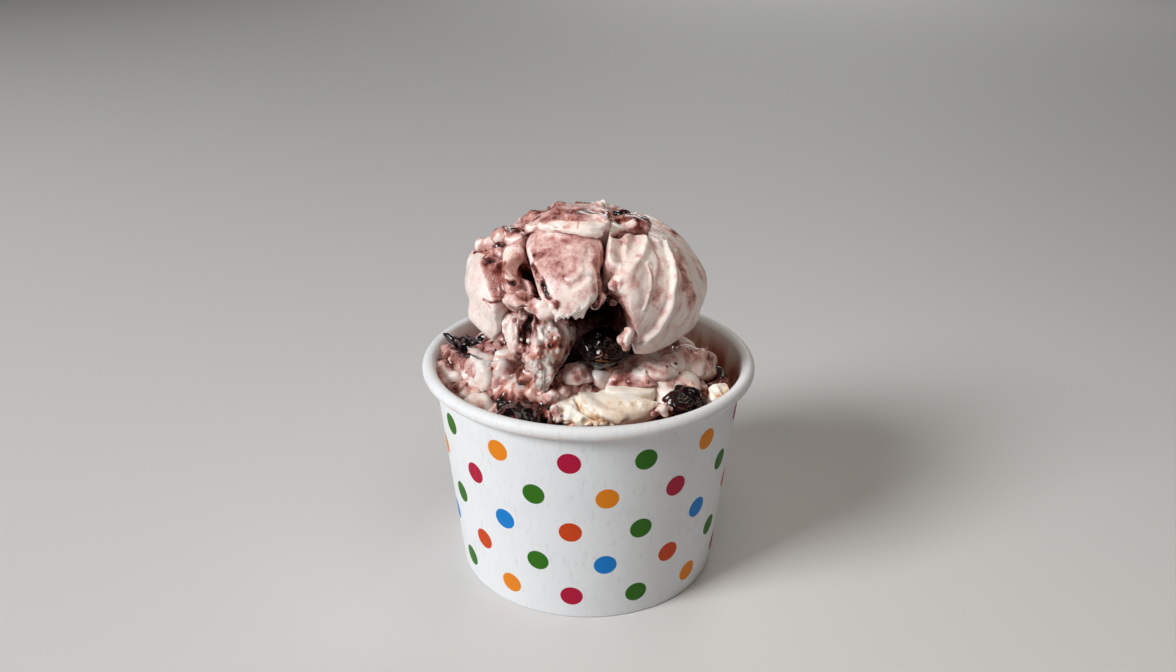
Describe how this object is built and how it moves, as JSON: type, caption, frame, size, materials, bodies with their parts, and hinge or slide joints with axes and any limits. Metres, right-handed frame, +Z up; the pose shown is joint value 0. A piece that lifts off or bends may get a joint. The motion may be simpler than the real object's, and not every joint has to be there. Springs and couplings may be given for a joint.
{
  "type": "gelato cup",
  "caption": "Dotted paper cup with a rolled rim, filled with cherry-ripple gelato and topped by a large folded scoop, a plain cream curl and dark cherries.",
  "frame": {"origin": "middle of the ring that the cup stands on, at the table", "axes": "+Z up through the cup, -Y towards the front with the scoop's open side, +X to the right"},
  "size_m": [0.096, 0.096, 0.1091],
  "materials": {
    "cup_board": "white coated board, satin, with staggered rows of green, orange, magenta, blue and red dots",
    "gelato_ripple": "frozen cream streaked with pink and mauve cherry ripple, moist",
    "gelato_cream": "plain frozen cream, torn and granular at the edges",
    "cherry": "dark steeped cherry, wet and glossy"
  },
  "bodies": {
    "root": {"cup_wall": "cup_board", "cup_base": "cup_board", "gelato_fill": "gelato_ripple", "gelato_scoop": "gelato_ripple", "cream_curl": "gelato_cream", "cream_chip": "gelato_cream", "cherry_skin": "cherry", "cherry_front": "cherry", "cherry_left": "cherry", "cherry_right": "cherry"}
  },
  "joints": []
}
